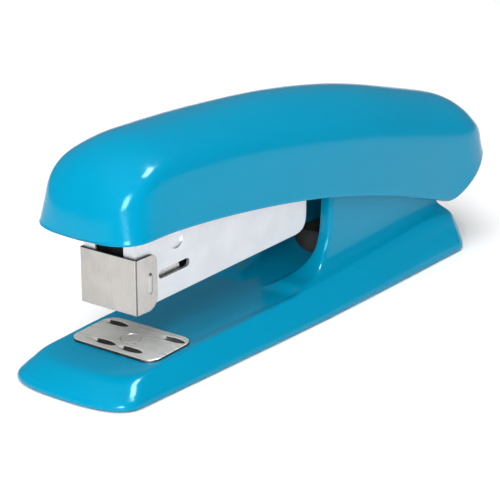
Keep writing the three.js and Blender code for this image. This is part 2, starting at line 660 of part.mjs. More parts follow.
function handleFrame() {
  const outline = [];
  const inside = [];
  const steps = 12;
  const topEnd = 103;
  for (let i = 0; i <= steps; i += 1) {
    const y = FRAME.front + ((topEnd - FRAME.front) * i) / steps;
    outline.push([y, frameTop(y)]);
    inside.push([y - (i ? 0 : 5) + (i < steps ? 0 : 30), frameTop(y) - FRAME.wall]);
  }
  outline.push([FRAME.rear - 2, PIVOT.z + 6], [FRAME.rear, PIVOT.z + 3], [FRAME.rear, PIVOT.z - 1.5]);
  outline.push([FRAME.rear - 2, PIVOT.z - 3.4], [PIVOT.y - 5, PIVOT.z - 2]);
  for (const y of [92, 78, 64, 48, 30, 14, FRAME.front]) outline.push([y, rimLine(y) + 1.2]);
  inside.push([140, 0], [-5, 0]);
  const shell = sideSweep(polygon(outline), -FRAME.half, FRAME.half);
  const inner = FRAME.half - FRAME.wall;
  const hollow = sideSweep(polygon(inside), -inner, inner);
  const pinHole = cylinderX(PIVOT.radius + 0.08, -20, 20, PIVOT.y, PIVOT.z);
  const screwHoles = COVER_SCREWS.map((y) => cylinderZ(1.4, 20, 60, 0, y, 12));
  const driverHoles = driverRivetHoles();
  return [hollow, pinHole, ...screwHoles, ...driverHoles].reduce((left, cut) => left.subtract(cut), shell);
}

function bladeTabZ() {
  return frameTop(DRIVER_RIVET.y + 5) - FRAME.wall - CLOSE;
}

// Blade and its tab in one bent strip; the blade leans back so that it is upright at the end of its stroke.
function driverBlade() {
  const { half, thick, low, y, tilt, tab } = BLADE;
  const high = bladeTabZ();
  const shift = Math.tan(tilt) * (high - low);
  const outline = polygon([
    [y - thick / 2, low], [y + thick / 2, low], [y + thick / 2 + shift * 0.97, high - thick],
    [tab, high - thick], [tab, high], [y - thick / 2 + shift, high],
  ]);
  return driverRivetHoles().reduce((left, cut) => left.subtract(cut), sideSweep(outline, -half, half));
}

function driverRivet(side) {
  const { radius, head } = DRIVER_RIVET;
  const low = bladeTabZ() - BLADE.thick - CLOSE / 2;
  const high = frameTop(FRAME.front) + CLOSE / 2;
  return turned([
    [0, low - 0.7], [head, low - 0.6], [head, low], [radius, low],
    [radius, high], [head, high], [head, high + 0.4], [0, high + 0.6],
  ], 12).translate([side * DRIVER_RIVET.x, DRIVER_RIVET.y, 0]);
}

function coverScrew(y) {
  const head = frameTop(y + 3) - FRAME.wall - CLOSE;
  const tip = frameTop(y - 3) + CLOSE + 4.6;
  const outline = [[0, head - 1.4], [2.3, head - 1.1], [2.3, head], [1.1, head], [1.1, tip - 0.8], [0, tip]];
  return turned(outline, 12).translate([0, y, 0]);
}

// ---- colours ----
const FINISH = {
  cyan: { color: 0x0496c4, roughness: 0.28, metalness: 0 },
  rubber: { color: 0x1a1b1d, roughness: 0.85, metalness: 0 },
  nickel: { color: 0xcbc7c4, roughness: 0.25, metalness: 1 },
  zinc: { color: 0xd6d9e0, roughness: 0.4, metalness: 0.9 },
  steel: { color: 0x9a9da2, roughness: 0.35, metalness: 1 },
  black: { color: 0x202225, roughness: 0.5, metalness: 0.6 },
  spring: { color: 0x8d9095, roughness: 0.3, metalness: 1 },
  plastic: { color: 0x2b2d31, roughness: 0.5, metalness: 0 },
};

const PIECES = {
  base_shell: [baseShell, 'cyan'],
  base_pad: [basePad, 'rubber'],
  spring_tray: [springTray, 'plastic'],
  pivot_pin: [pivotPin, 'steel'],
  pin_clip_right: [() => pinClip(1), 'steel'],
  pin_clip_left: [() => pinClip(-1), 'steel'],
  arm_return_spring: [armReturnSpring, 'spring'],
  anvil_plate: [anvilPlate, 'nickel'],
  anvil_post: [anvilPost, 'nickel'],
  anvil_button: [anvilButton, 'plastic'],
  anvil_spring: [anvilSpring, 'spring'],
  magazine_channel: [magazineChannel, 'zinc'],
  front_plate: [frontPlate, 'nickel'],
  staple_rail: [stapleRail, 'black'],
  rail_rivet_front: [() => railRivet(RIVETS[0]), 'steel'],
  rail_rivet_rear: [() => railRivet(RIVETS[1]), 'steel'],
  guide_rod: [guideRod, 'steel'],
  spring_cross_pin: [springCrossPin, 'steel'],
  spring_sleeve: [springSleeve, 'plastic'],
  pusher: [pusher, 'nickel'],
  pusher_spring: [pusherSpring, 'spring'],
  handle_return_spring: [handleReturnSpring, 'spring'],
  handle_cover: [handleCover, 'cyan'],
  handle_frame: [handleFrame, 'steel'],
  driver_blade: [driverBlade, 'black'],
  driver_rivet_right: [() => driverRivet(1), 'steel'],
  driver_rivet_left: [() => driverRivet(-1), 'steel'],
  cover_screw_front: [() => coverScrew(COVER_SCREWS[0]), 'steel'],
  cover_screw_rear: [() => coverScrew(COVER_SCREWS[1]), 'steel'],
};

const stapler = new THREE.Group();
stapler.name = 'stapler';
const centreY = (BASE.front + HANDLE.tail) / 2;
for (const [name, [make, finish]] of Object.entries(PIECES)) {
  const geometry = toGeometry(make().translate([0, -centreY, 0]));
  const mesh = new THREE.Mesh(geometry, new THREE.MeshStandardMaterial(FINISH[finish]));
  mesh.name = name;
  stapler.add(mesh);
}

export default stapler;
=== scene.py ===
import math

import bmesh
import bpy
import numpy as np
from mathutils import Matrix, Vector


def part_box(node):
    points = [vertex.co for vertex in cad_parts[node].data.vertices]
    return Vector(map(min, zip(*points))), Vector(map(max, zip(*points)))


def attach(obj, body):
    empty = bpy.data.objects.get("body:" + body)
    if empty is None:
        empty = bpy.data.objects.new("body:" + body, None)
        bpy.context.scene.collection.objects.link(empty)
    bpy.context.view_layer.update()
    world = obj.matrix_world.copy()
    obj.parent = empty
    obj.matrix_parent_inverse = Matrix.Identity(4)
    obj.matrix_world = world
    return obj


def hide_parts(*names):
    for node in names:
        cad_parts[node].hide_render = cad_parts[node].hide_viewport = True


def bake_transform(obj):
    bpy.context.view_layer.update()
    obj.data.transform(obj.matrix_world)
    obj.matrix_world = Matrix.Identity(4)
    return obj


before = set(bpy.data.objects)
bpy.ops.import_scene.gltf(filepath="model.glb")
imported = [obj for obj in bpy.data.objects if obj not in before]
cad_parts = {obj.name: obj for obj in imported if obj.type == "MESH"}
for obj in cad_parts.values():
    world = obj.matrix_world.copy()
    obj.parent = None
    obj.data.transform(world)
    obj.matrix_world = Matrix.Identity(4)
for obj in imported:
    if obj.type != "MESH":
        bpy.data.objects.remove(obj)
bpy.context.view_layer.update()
MM = 0.001

# ---- driving dimensions, in millimetres ----
PLATE_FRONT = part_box("front_plate")[0].y / MM  # row Y of the plate's outer face
PIVOT_Y, PIVOT_Z, PIN_RADIUS = 110, 18.8, 1.8
BASE_FRONT, BASE_REAR, BASE_LIP, BASE_BOTTOM = -16.5, 122.6, 1.6, 0.3
BASE_WALL, DECK_WALL, DISH = 2, 1.5, 0.85
EAR_INNER, EAR_OUTER, EAR_FRONT, EAR_REAR, EAR_FOOT, EAR_BOSS = 7, 10.5, 67, 112.4, 117.5, 4.6
WELL_HALF, WELL_FRONT, WELL_REAR = 6.7, 75.3, 111.5
SEAT_FRONT, SEAT_REAR, SEAT_TOP = 93, 97, 7.6
ANVIL_Y, ANVIL_TOP, ANVIL_SLOPE = 7, 6.95, math.radians(2.5)
ANVIL_HALF, ANVIL_LENGTH, ANVIL_THICK, ANVIL_CORNER = 12.2, 14.7, 0.8, 3.2
NOSE, TAIL, COVER_WALL, RIDGE_INSET, TAIL_Z, TAIL_START = -9.9, 137, 1.5, 1.6, 24.4, 100
PLATE_HALF, PLATE_THICK, PLATE_LOW, PLATE_TOP, PLATE_TAB = 8.05, 0.6, 16, 28.5, 6.9
CHANNEL_SLOPE, CHANNEL_LOW = math.radians(1.9), 16.75
SKIN_INSET = 0.03  # keeps the fine mouldings just inside the faceted CAD solids
BASE_STEP, ANVIL_STEP = 0.48, 0.14  # grid spacing of the two field meshes

# finer dimensions of the base
DISH_START, DISH_REACH = 3.7, 3.5
DISH_EASE, DISH_EASE_START, DISH_EASE_REACH = 0.11, 14, 34
EAR_ROOT_FRONT, EAR_ROOT_REAR, EAR_BLEND, EAR_EDGE = 54, 118.5, 5.5, 1.1
RIBS, RIB_HALF = (24.8, 44.8), 0.8
POST_HOLE, PIN_CLEARANCE = 2.4, 0.05
HEIGHT_SCALE = 0.75  # brings a height difference on the slopes nearer to a true distance

# finer dimensions of the handle
NOSE_RISE, END_ZONE = 22, 22
CROWN_SHARE, CROWN_POWER = 0.82, 2.2
SECTION_STEPS, STATION_STEPS = (14, 10, 9), (34, 46, 34)
BOSS_OUTER, BOSS_BORE, BOSS_DROP, BOSS_GAP = 2.8, 1.3, 4.2, 0.9

# finer dimensions of the anvil
POCKETS = ((3.8, -4.6), (8.2, 4.6))
POCKET_HALF_LENGTH, POCKET_HALF_WIDTH, POCKET_DEPTH = 3.65, 1.15, 0.62
SINK_RADIUS, SINK_DEPTH, ANVIL_HOLE = 2.4, 0.45, 1.4


# ---- numbers along the length ----
def through(pairs):
    """A smooth curve through a few (y, value) pairs, as a function of y."""
    p = np.array([pairs[0], *pairs, pairs[-1]], float)
    t = np.linspace(0, 1, 17)[:-1, None]
    rows = []
    for k in range(len(pairs) - 1):
        a, b, c, d = p[k : k + 4]
        v, w = (c - a) / 2, (d - b) / 2
        rows.append((2 * b - 2 * c + v + w) * t**3 + (3 * c - 3 * b - 2 * v - w) * t**2 + v * t + b)
    points = np.vstack([*rows, p[-1:]])
    return lambda y: np.interp(y, points[:, 0], points[:, 1])


def rounded_end(distance, reach, power):
    """0 at the tip of a rounded end and 1 from one reach away; a higher power is squarer."""
    s = np.clip(np.asarray(distance, float) / reach, 0, 1)
    return (1 - (1 - s) ** power) ** (1 / power)


base_half = through([(-17, 17), (0, 17.2), (45, 17.8), (70, 17.6), (100, 16.8), (124, 16.1)])
crest = through(
    [(-17, 5.4), (-1, 6.05), (15, 6.75), (57, 7.7), (76, 8.6), (97, 9.5)]
    + [(108, 9.5), (114, 8.8), (118, 7.5), (121, 5.7), (124, 2.5)]
)
rim_line = through(
    [(-12, 34.4), (5.5, 35), (31, 32.9), (59, 28.6), (85, 22.4), (106, 15.9), (119, 12.4), (138, 12)]
)
ridge_line = through([(-12, 49.6), (7, 48.9), (33, 47.2), (71, 41.1), (92, 36.5), (114, 31.4), (138, 27.5)])
crown_line = through([(-12, 53.8), (18, 54.1), (40, 53.4), (61, 51.7), (85, 47.8), (111, 41.1), (138, 33.4)])
handle_half = through([(-12, 14.7), (20, 15), (70, 15), (111, 14.5), (138, 13.8)])
shoulder = through([(0, 0), (1, 0.33), (1.9, 0.6), (2.6, 0.83), (3.2, 0.96), (3.7, 1), (4.3, 1)])
rear_slack = through(
    [(0, 0.3), (1, 0.36), (1.9, 0.46), (2.6, 1), (3.2, 1.9), (3.7, 3.2), (4.3, 4.6), (5.4, 6), (8, 8.4)]
)


# ---- materials ----
CYAN = (0.0, 0.228, 0.385)
CYAN_DEEP = (0.0, 0.216, 0.365)
CYAN_PALE = (0.0, 0.26, 0.42)
EVEN, LENGTHWAYS, UPRIGHT, CROSSWAYS = (1, 1, 1), (1, 0.05, 1), (1, 1, 0.05), (0.05, 1, 1)
MIX_A, MIX_B, MIX_RESULT = 6, 7, 2  # the colour sockets of a Mix node


def new_material(name, base, metallic, roughness):
    """A material with its principled shader and object coordinates ready."""
    material = bpy.data.materials.new(name)
    material.use_nodes = True
    nodes, links = material.node_tree.nodes, material.node_tree.links
    shader = nodes["Principled BSDF"]
    shader.inputs["Base Color"].default_value = (*base, 1)
    shader.inputs["Metallic"].default_value = metallic
    shader.inputs["Roughness"].default_value = roughness
    place = nodes.new("ShaderNodeTexCoord")
    return material, nodes, links, shader, place.outputs["Object"]


def noise(nodes, links, place, stretch, scale, detail=3.0):
    """Noise in object space; stretch scales X, Y and Z apart, for brushed or drawn surfaces."""
    mapping = nodes.new("ShaderNodeMapping")
    mapping.inputs["Scale"].default_value = stretch
    links.new(place, mapping.inputs["Vector"])
    texture = nodes.new("ShaderNodeTexNoise")
    texture.inputs["Scale"].default_value = scale
    texture.inputs["Detail"].default_value = detail
    links.new(mapping.outputs["Vector"], texture.inputs["Vector"])
    return texture.outputs["Fac"]


def spread(nodes, links, value, low, high):
    """Maps the middle of a noise value to a range."""
    ranger = nodes.new("ShaderNodeMapRange")
    ranger.inputs["From Min"].default_value = 0.3
    ranger.inputs["From Max"].default_value = 0.7
    ranger.inputs["To Min"].default_value = low
    ranger.inputs["To Max"].default_value = high
    links.new(value, ranger.inputs["Value"])
    return ranger.outputs["Result"]


def tint(nodes, links, value, dark, light):
    """Mixes two colours by a noise value."""
    ramp = nodes.new("ShaderNodeValToRGB")
    ramp.color_ramp.elements[0].position = 0.35
    ramp.color_ramp.elements[0].color = (*dark, 1)
    ramp.color_ramp.elements[1].position = 0.65
    ramp.color_ramp.elements[1].color = (*light, 1)
    links.new(value, ramp.inputs["Fac"])
    return ramp.outputs["Color"]


def worn_edges(nodes, links, low, high):
    """A value that is high only on sharp convex edges."""
    geometry = nodes.new("ShaderNodeNewGeometry")
    ranger = nodes.new("ShaderNodeMapRange")
    ranger.inputs["From Min"].default_value = low
    ranger.inputs["From Max"].default_value = high
    links.new(geometry.outputs["Pointiness"], ranger.inputs["Value"])
    return ranger.outputs["Result"]


def bump(nodes, links, shader, value, distance, strength=0.3):
    """Fine relief from a noise value."""
    relief = nodes.new("ShaderNodeBump")
    relief.inputs["Strength"].default_value = strength
    relief.inputs["Distance"].default_value = distance
    links.new(value, relief.inputs["Height"])
    links.new(relief.outputs["Normal"], shader.inputs["Normal"])


def gloss_plastic(name):
    """Glossy moulded plastic: faint orange peel, flow marks and slightly paler edges."""
    material, nodes, links, shader, place = new_material(name, CYAN, 0, 0.2)
    flow = noise(nodes, links, place, (1, 0.25, 1), 55)
    body = tint(nodes, links, flow, CYAN_DEEP, CYAN)
    worn = nodes.new("ShaderNodeMix")
    worn.data_type = "RGBA"
    links.new(worn_edges(nodes, links, 0.56, 0.68), worn.inputs["Factor"])
    links.new(body, worn.inputs[MIX_A])
    worn.inputs[MIX_B].default_value = (*CYAN_PALE, 1)
    links.new(worn.outputs[MIX_RESULT], shader.inputs["Base Color"])
    haze = noise(nodes, links, place, EVEN, 900)
    links.new(spread(nodes, links, haze, 0.13, 0.2), shader.inputs["Roughness"])
    peel = noise(nodes, links, place, EVEN, 420, 1.0)
    bump(nodes, links, shader, peel, 0.00003, 0.18)
    shader.inputs["IOR"].default_value = 1.2
    shader.inputs["Specular IOR Level"].default_value = 1
    shader.inputs["Specular Tint"].default_value = (0.45, 0.93, 1, 1)
    return material


def plated(name, dark, light, rough_low, rough_high, grain, relief, metallic=1):
    """Plated or bare steel: a cloudy colour, with roughness and fine relief that follow the grain."""
    material, nodes, links, shader, place = new_material(name, light, metallic, rough_low)
    cloud = noise(nodes, links, place, EVEN, 160)
    links.new(tint(nodes, links, cloud, dark, light), shader.inputs["Base Color"])
    streak = noise(nodes, links, place, grain, 900, 4.0)
    links.new(spread(nodes, links, streak, rough_low, rough_high), shader.inputs["Roughness"])
    bump(nodes, links, shader, streak, relief, 0.25)
    return material


def matt(name, dark, light, roughness, scale, relief):
    """Rubber and unpolished plastic: speckle and a fine grain."""
    material, nodes, links, shader, place = new_material(name, light, 0, roughness)
    speck = noise(nodes, links, place, EVEN, scale)
    links.new(tint(nodes, links, speck, dark, light), shader.inputs["Base Color"])
    links.new(spread(nodes, links, speck, roughness - 0.08, roughness + 0.1), shader.inputs["Roughness"])
    grain = noise(nodes, links, place, EVEN, 3 * scale)
    bump(nodes, links, shader, grain, relief, 0.5)
    return material


plastic = gloss_plastic("gloss_cyan_plastic")
nickel = plated("bright_nickel_plate", (0.41, 0.395, 0.375), (0.48, 0.46, 0.44), 0.2, 0.32, UPRIGHT, 0.000004)
SATIN_DARK, SATIN_LIGHT = (0.68, 0.67, 0.63), (0.76, 0.75, 0.71)
anvil_nickel = plated(
    "satin_nickel_plate", SATIN_DARK, SATIN_LIGHT, 0.24, 0.36, CROSSWAYS, 0.000005, metallic=0.5
)
ZINC_DARK, ZINC_LIGHT = (0.61, 0.625, 0.655), (0.65, 0.665, 0.695)
zinc = plated("zinc_coated_steel", ZINC_DARK, ZINC_LIGHT, 0.38, 0.46, LENGTHWAYS, 0.000005)
steel = plated("drawn_steel", (0.36, 0.37, 0.39), (0.5, 0.51, 0.53), 0.28, 0.42, LENGTHWAYS, 0.000006)
bright_steel = plated("turned_steel", (0.5, 0.5, 0.52), (0.62, 0.62, 0.64), 0.2, 0.34, CROSSWAYS, 0.000004)
spring_steel = plated("spring_wire", (0.3, 0.31, 0.33), (0.48, 0.49, 0.51), 0.25, 0.38, LENGTHWAYS, 0.000005)
OXIDE_DARK, OXIDE_LIGHT = (0.012, 0.013, 0.015), (0.03, 0.031, 0.034)
black_steel = plated("black_oxide_steel", OXIDE_DARK, OXIDE_LIGHT, 0.4, 0.6, LENGTHWAYS, 0.000006)
rubber = matt("pad_rubber", (0.008, 0.008, 0.009), (0.02, 0.02, 0.021), 0.8, 700, 0.00003)
# Near-black steel used as painted shade: on the anvil's edge faces and pocket walls, and on the front plate's
# edges and bend line
painted_shade_steel = plated("painted_shade_edge", (0.07, 0.07, 0.07), (0.13, 0.13, 0.13), 0.35, 0.5, UPRIGHT, 0.000006)
button_plastic = matt("button_plastic", (0.006, 0.006, 0.007), (0.014, 0.014, 0.016), 0.7, 500, 0.00001)


# ---- mesh making ----
def to_row(points):
    """Millimetres from the plate's face to metres in the row frame."""
    return [Vector((x, y + PLATE_FRONT, z)) * MM for x, y, z in points]


def add_piece(name, points, faces, material, body, nodes):
    """A finished mesh object that replaces CAD nodes; with no body it has to be blended afterwards."""
    mesh = bpy.data.meshes.new(name)
    mesh.from_pydata(to_row(points), [], faces)
    mesh.update()
    mesh.validate()
    mesh.shade_smooth()
    mesh.materials.append(material)
    piece = bpy.data.objects.new(name, mesh)
    bpy.context.scene.collection.objects.link(piece)
    if body:
        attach(piece, body)
    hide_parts(*nodes)
    return piece


def ring_faces(rings, count, closed_ends=True):
    """Faces that join equal closed rings one after another, with fans over the two ends."""
    faces = []
    for k in range(rings - 1):
        for i in range(count):
            a, b = k * count + i, k * count + (i + 1) % count
            faces.append((a, b, b + count, a + count))
    if closed_ends:
        faces.append(tuple(reversed(range(count))))
        faces.append(tuple(range((rings - 1) * count, rings * count)))
    return faces


def skin(name, field, low, high, step, material, body, nodes):
    """Meshes the zero surface of a field of (x, y, z); its points and normals come from the field."""
    axes = [np.arange(a, b + step, step) for a, b in zip(low, high)]
    grid = np.broadcast_to(
        field(axes[0][:, None, None], axes[1][None, :, None], axes[2][None, None, :]), [len(a) for a in axes]
    )
    inside = grid < 0
    cells = [n - 1 for n in grid.shape]
    total, hits = np.zeros((*cells, 3)), np.zeros(cells)
    crossings = []
    for axis in range(3):
        near = [slice(None)] * 3
        far = [slice(None)] * 3
        near[axis], far[axis] = slice(0, -1), slice(1, None)
        f0, f1 = grid[tuple(near)], grid[tuple(far)]
        crossed = inside[tuple(near)] != inside[tuple(far)]
        share = np.where(crossed, f0 / np.where(crossed, f0 - f1, 1), 0)
        crossings.append((crossed, inside[tuple(near)]))
        others = [a for a in range(3) if a != axis]
        for da in (0, 1):
            for db in (0, 1):
                pick = [slice(None)] * 3
                pick[others[0]] = slice(da, cells[others[0]] + da)
                pick[others[1]] = slice(db, cells[others[1]] + db)
                here = crossed[tuple(pick)]
                hits += here
                total[..., axis] += np.where(here, share[tuple(pick)], 0)
                total[..., others[0]] += here * da
                total[..., others[1]] += here * db
    active = np.argwhere(hits > 0)
    number = np.full(cells, -1)
    number[tuple(active.T)] = np.arange(len(active))
    mean = total[tuple(active.T)] / hits[tuple(active.T)][:, None]
    points = np.array([axes[k][0] for k in range(3)]) + (active + mean) * step
    faces = []
    for axis, (crossed, starts_inside) in enumerate(crossings):
        u, v = (axis + 1) % 3, (axis + 2) % 3
        spots = np.argwhere(crossed)
        within_u = (spots[:, u] > 0) & (spots[:, u] < cells[u])
        within_v = (spots[:, v] > 0) & (spots[:, v] < cells[v])
        spots = spots[within_u & within_v]
        corners = []
        for du, dv in ((-1, -1), (0, -1), (0, 0), (-1, 0)):
            cell = spots.copy()
            cell[:, u] += du
            cell[:, v] += dv
            corners.append(number[tuple(cell.T)])
        quads = np.stack(corners, 1)
        outward = starts_inside[tuple(spots.T)]
        quads[~outward] = quads[~outward][:, ::-1]
        faces.append(quads)

    def slope(p):
        """The field's gradient by central differences."""
        small = 0.02
        return np.stack(
            [(field(*(p + small * e).T) - field(*(p - small * e).T)) / (2 * small) for e in np.eye(3)], 1
        )

    passes, longest_move, least_slope, least_length = 3, 0.3 * step, 0.05, 1e-6
    for _ in range(passes):
        gradient = slope(points)
        size = np.maximum((gradient**2).sum(1), least_slope)
        move = -(field(*points.T) / size)[:, None] * gradient
        points = points + np.clip(move, -longest_move, longest_move)
    normals = slope(points)
    normals /= np.maximum(np.linalg.norm(normals, axis=1), least_length)[:, None]
    piece = add_piece(name, points.tolist(), np.vstack(faces).tolist(), material, body, nodes)
    piece.data.normals_split_custom_set_from_vertices(normals.tolist())
    return piece


def soft_min(a, b, reach):
    """The lower of two fields, blended where they are within reach of each other."""
    near = np.maximum(reach - np.abs(a - b), 0) / reach
    return np.minimum(a, b) - near * near * reach / 4


def soft_max(a, b, reach):
    """The higher of two fields, blended where they are within reach of each other."""
    return -soft_min(-a, -b, reach)


# ---- base ----
def base_depth(x, y):
    """How far inside the base's outline a point is, on the scale that shapes the shoulders."""
    outermost, innermost, halvings = -3.0, 19.0, 24
    end_reach, nose_power, rear_power, last_slack = 8, 2.7, 2.4, 8
    low = np.full(np.broadcast(x, y).shape, outermost)
    high = np.full(low.shape, innermost)
    for _ in range(halvings):
        middle = (low + high) / 2
        slack = rear_slack(middle) + np.maximum(middle - last_slack, 0) + np.minimum(middle, 0)
        nose_slack = 1.4 * middle + 0.25 * np.maximum(middle - 1, 0) ** 2
        nose_end = rounded_end(y - BASE_FRONT - nose_slack, end_reach, nose_power)
        rear_end = rounded_end(BASE_REAR - slack - y, end_reach, rear_power)
        inside = (base_half(y) - middle) * (nose_end * rear_end) > np.abs(x)
        low, high = np.where(inside, middle, low), np.where(inside, high, middle)
    return (low + high) / 2


def dish(y):
    """Share of the crest's height that the deck keeps: shallow at the nose and deeper under the channel."""
    return DISH + DISH_EASE * (1 - rounded_end(y - DISH_EASE_START, DISH_EASE_REACH, 1.6))


def level(y, share):
    """Height of the base's top: share 0 is the lip and 1 the crest of the shoulders."""
    return BASE_LIP + share * (crest(y) - BASE_LIP)


def bezier(a, b, c, d, steps):
    """Points along a cubic, without the first."""
    p = np.array([a, b, c, d], float)
    t = np.linspace(0, 1, steps + 1)[1:, None]
    rest = 1 - t
    return (rest**3 * p[0] + 3 * t * rest**2 * p[1] + 3 * t * t * rest * p[2] + t**3 * p[3]).tolist()


def ear_outline():
    """Side view of an ear as (y, z): a swept front edge, a sloping top and a round end at the pin."""
    foot = 2.0
    front, rise_start = EAR_ROOT_FRONT, 57
    front_top = (EAR_FRONT - 0.2, 19.5)
    points = [(front, foot), (front, level(front, 0.8)), (rise_start, level(rise_start, 0.85))]
    points += bezier(points[-1], (62.4, 8.3), (EAR_FRONT - 0.6, 13), front_top, 14)
    points += [(EAR_FRONT + 0.3, 27)]
    boss_steps, boss_arc = 12, math.radians(126)
    for k in range(boss_steps + 1):
        angle = math.pi / 2 - boss_arc * k / boss_steps
        points.append((PIVOT_Y + EAR_BOSS * math.cos(angle), PIVOT_Z + EAR_BOSS * math.sin(angle)))
    points += [(EAR_REAR, 13.3)]
    ground = (EAR_FOOT, level(EAR_FOOT, 0.8))
    points += bezier(points[-1], (EAR_REAR + 0.3, 11.8), (EAR_REAR + 1.8, 10.6), ground, 8)
    points += [(EAR_FOOT, foot)]
    return np.array(points, float)


def outline_field(points, y, z):
    """Signed distance from (y, z) to a closed outline, negative inside."""
    nearest = np.full(np.broadcast(y, z).shape, 1e9)
    inside = np.zeros(nearest.shape, bool)
    for (ay, az), (by, bz) in zip(points, np.roll(points, -1, 0)):
        dy, dz = by - ay, bz - az
        t = np.clip(((y - ay) * dy + (z - az) * dz) / (dy * dy + dz * dz), 0, 1)
        nearest = np.minimum(nearest, (y - ay - t * dy) ** 2 + (z - az - t * dz) ** 2)
        if dz:
            inside ^= ((az > z) != (bz > z)) & (y < ay + dy * (z - az) / dz)
    return np.where(inside, -1, 1) * np.sqrt(nearest)


EAR = ear_outline()


def base_field(x, y, z):
    """The base: a dished tray with soft shoulders, two ears that grow out of it, and the well."""
    depth = base_depth(x, y)
    inward = np.clip((depth - DISH_START) / DISH_REACH, 0, 1)
    share = shoulder(np.clip(depth, 0, 4)) - (1 - dish(y)) * inward * inward * (3 - 2 * inward)
    top = HEIGHT_SCALE * (z - level(y, share))
    body = soft_max(top, SKIN_INSET - depth, 0.5)
    ear_middle, ear_half = (EAR_INNER + EAR_OUTER) / 2, (EAR_OUTER - EAR_INNER) / 2
    beside_ear = np.abs(np.abs(x) - ear_middle) - ear_half
    ear = soft_max(outline_field(EAR, y, z), beside_ear, EAR_EDGE)
    under = HEIGHT_SCALE * (BASE_BOTTOM - z)
    solid = soft_max(soft_min(body, ear, EAR_BLEND), under, 0.5)

    roof = level(y, DISH) - DECK_WALL
    lean = np.clip((z - BASE_LIP) / (roof - BASE_LIP), 0, 1)
    wall = BASE_WALL + 4 * lean
    rear_wall = y - (BASE_REAR - BASE_WALL - 4 * lean)
    hollow = np.maximum(np.maximum(wall - depth, z - roof), rear_wall)
    for rib in RIBS:
        hollow = np.maximum(hollow, RIB_HALF - np.abs(y - rib))
    root_middle, root_half = (EAR_ROOT_FRONT + EAR_ROOT_REAR) / 2, (EAR_ROOT_REAR - EAR_ROOT_FRONT) / 2
    root = np.maximum(beside_ear, np.abs(y - root_middle) - root_half)
    seat_middle, seat_half = (SEAT_FRONT + SEAT_REAR) / 2, (SEAT_REAR - SEAT_FRONT) / 2
    seat = np.maximum(np.abs(y - seat_middle) - seat_half, z - SEAT_TOP)
    hollow = np.maximum(np.maximum(hollow, -root), -seat)

    well_middle, well_reach = (WELL_FRONT + WELL_REAR) / 2, (WELL_REAR - WELL_FRONT) / 2
    well = soft_max(np.abs(x) - WELL_HALF, np.abs(y - well_middle) - well_reach, 0.8)
    well = soft_max(well, -seat, 0.4)
    post = np.sqrt(x * x + (y - ANVIL_Y) ** 2) - POST_HOLE
    pin = np.sqrt((y - PIVOT_Y) ** 2 + (z - PIVOT_Z) ** 2) - PIN_RADIUS - PIN_CLEARANCE
    for cut in (hollow, well, post, pin):
        solid = soft_max(solid, -cut, 0.35)
    return solid


def make_base():
    """Meshes the base over a box that is a little larger than it is; it is widest at y 45."""
    widest, margin = base_half(45), 0.6
    low = (-widest - margin, BASE_FRONT - margin, -0.3)
    high = (widest + margin, BASE_REAR + margin, 27.8)
    nodes = ["base_shell"]
    skin("base_moulding", base_field, low, high, BASE_STEP, plastic, "base", nodes)


# ---- handle ----
def handle_section(y, inset, top_steps, bend_steps, side_steps):
    """Half of the handle's section, from the crown to the lower rim, as (x, z) rows."""
    tail_end = rounded_end(TAIL - inset - y, 17, 2.7)
    rim_end = rounded_end(y - NOSE - inset, 9, 3) * tail_end
    ridge_end = rounded_end(y - NOSE - inset, 13, 2.6) * tail_end
    rise = rounded_end(y - NOSE - inset, NOSE_RISE, 2.35)
    closing = rounded_end(TAIL - inset - y, 18, 2.6) if y > TAIL_START else 1
    closing_low = rounded_end(TAIL - inset - y, 24, 1.17) if y > TAIL_START else 1
    low = rim_line(y)

    def lift(height):
        """A height drawn in towards the lower rim at the nose and towards the tip at the tail."""
        return TAIL_Z + (low + (height - low) * rise - TAIL_Z) * closing

    rim = np.array([(handle_half(y) - inset) * rim_end, TAIL_Z + (low - TAIL_Z) * closing_low])
    wide = (handle_half(y) - RIDGE_INSET - inset) * ridge_end
    crown, ridge = lift(crown_line(y) - inset), lift(ridge_line(y) - inset)
    bend_x = CROWN_SHARE * wide
    bend_start = np.array([bend_x, crown - (crown - ridge) * CROWN_SHARE**CROWN_POWER])
    corner = np.array([wide, ridge + 0.06 * (crown - ridge)])
    bend_end = np.array([wide, ridge]) * 0.8 + rim * 0.2
    rows = []
    for s in np.arange(top_steps) / top_steps:
        rows.append(np.array([bend_x * s, crown - (crown - ridge) * (CROWN_SHARE * s) ** CROWN_POWER]))
    for t in np.arange(bend_steps) / bend_steps:
        rows.append((1 - t) ** 2 * bend_start + 2 * t * (1 - t) * corner + t * t * bend_end)
    for t in np.arange(side_steps + 1) / side_steps:
        rows.append(bend_end + (rim - bend_end) * t)
    return np.array(rows)


def handle_stations(inset, front_steps, middle_steps, rear_steps):
    """Stations packed towards the rounded nose and tail."""
    start, end = NOSE + inset, TAIL - inset
    tip, packing = 0.08, 2.2
    front = start + END_ZONE * ((np.arange(front_steps) + tip) / front_steps) ** packing
    middle = np.linspace(start + END_ZONE, end - END_ZONE, middle_steps + 1)
    rear = end - END_ZONE * ((np.arange(rear_steps)[::-1] + tip) / rear_steps) ** packing
    return np.concatenate([front, middle, rear])


